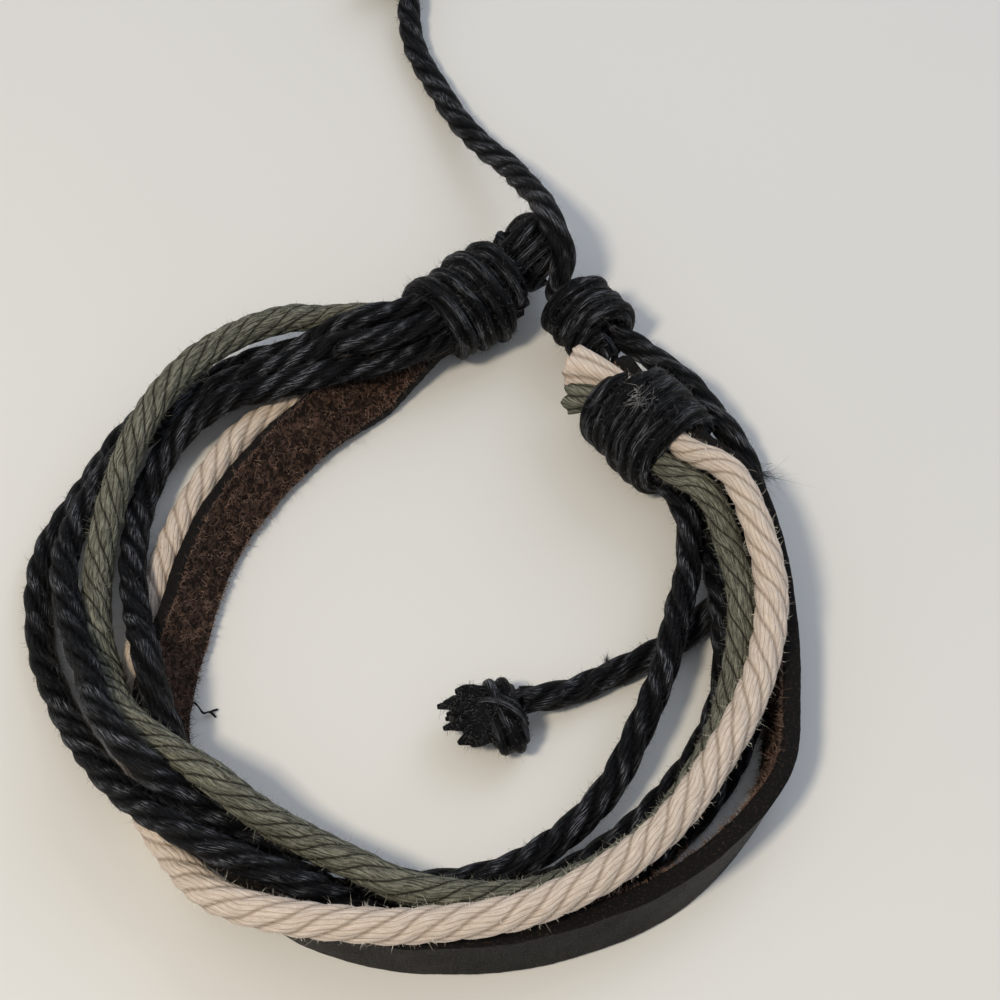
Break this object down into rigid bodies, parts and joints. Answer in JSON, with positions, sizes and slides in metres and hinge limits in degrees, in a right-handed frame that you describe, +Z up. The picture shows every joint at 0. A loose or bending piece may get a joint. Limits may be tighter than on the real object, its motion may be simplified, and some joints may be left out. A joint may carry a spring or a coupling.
{
  "type": "multi-strand cord and leather bracelet",
  "caption": "Adjustable wrist bracelet of side-by-side cords and a flat leather strap, bound by cord wraps and closed by sliding knots, lying on its side.",
  "frame": {"origin": "middle of the bracelet's box on the surface that it lies on, the pull cords left out", "axes": "+Z up out of the surface, which is the wrist's own axis; +Y towards the closure; +X to the right"},
  "size_m": [0.0639, 0.1132, 0.01],
  "materials": {
    "leather": "smooth dark outer face, suede inner face",
    "cream_cotton": "twisted matte cotton",
    "olive_cotton": "twisted waxed cotton",
    "black_waxed_cord": "twisted waxed cotton, slightly shiny"
  },
  "bodies": {
    "root": {"leather_strap": "leather", "cream_cord": "cream_cotton", "olive_cord": "olive_cotton", "black_cord_outer": "black_waxed_cord", "black_cord_middle": "black_waxed_cord", "black_cord_inner": "black_waxed_cord", "left_wrap": "black_waxed_cord", "right_wrap": "black_waxed_cord", "round_slide_knot": "black_waxed_cord", "barrel_slide_knot": "black_waxed_cord", "top_pull_cord": "black_waxed_cord", "top_stopper_knot": "black_waxed_cord", "inner_pull_cord": "black_waxed_cord", "inner_stopper_knot": "black_waxed_cord"}
  },
  "joints": []
}
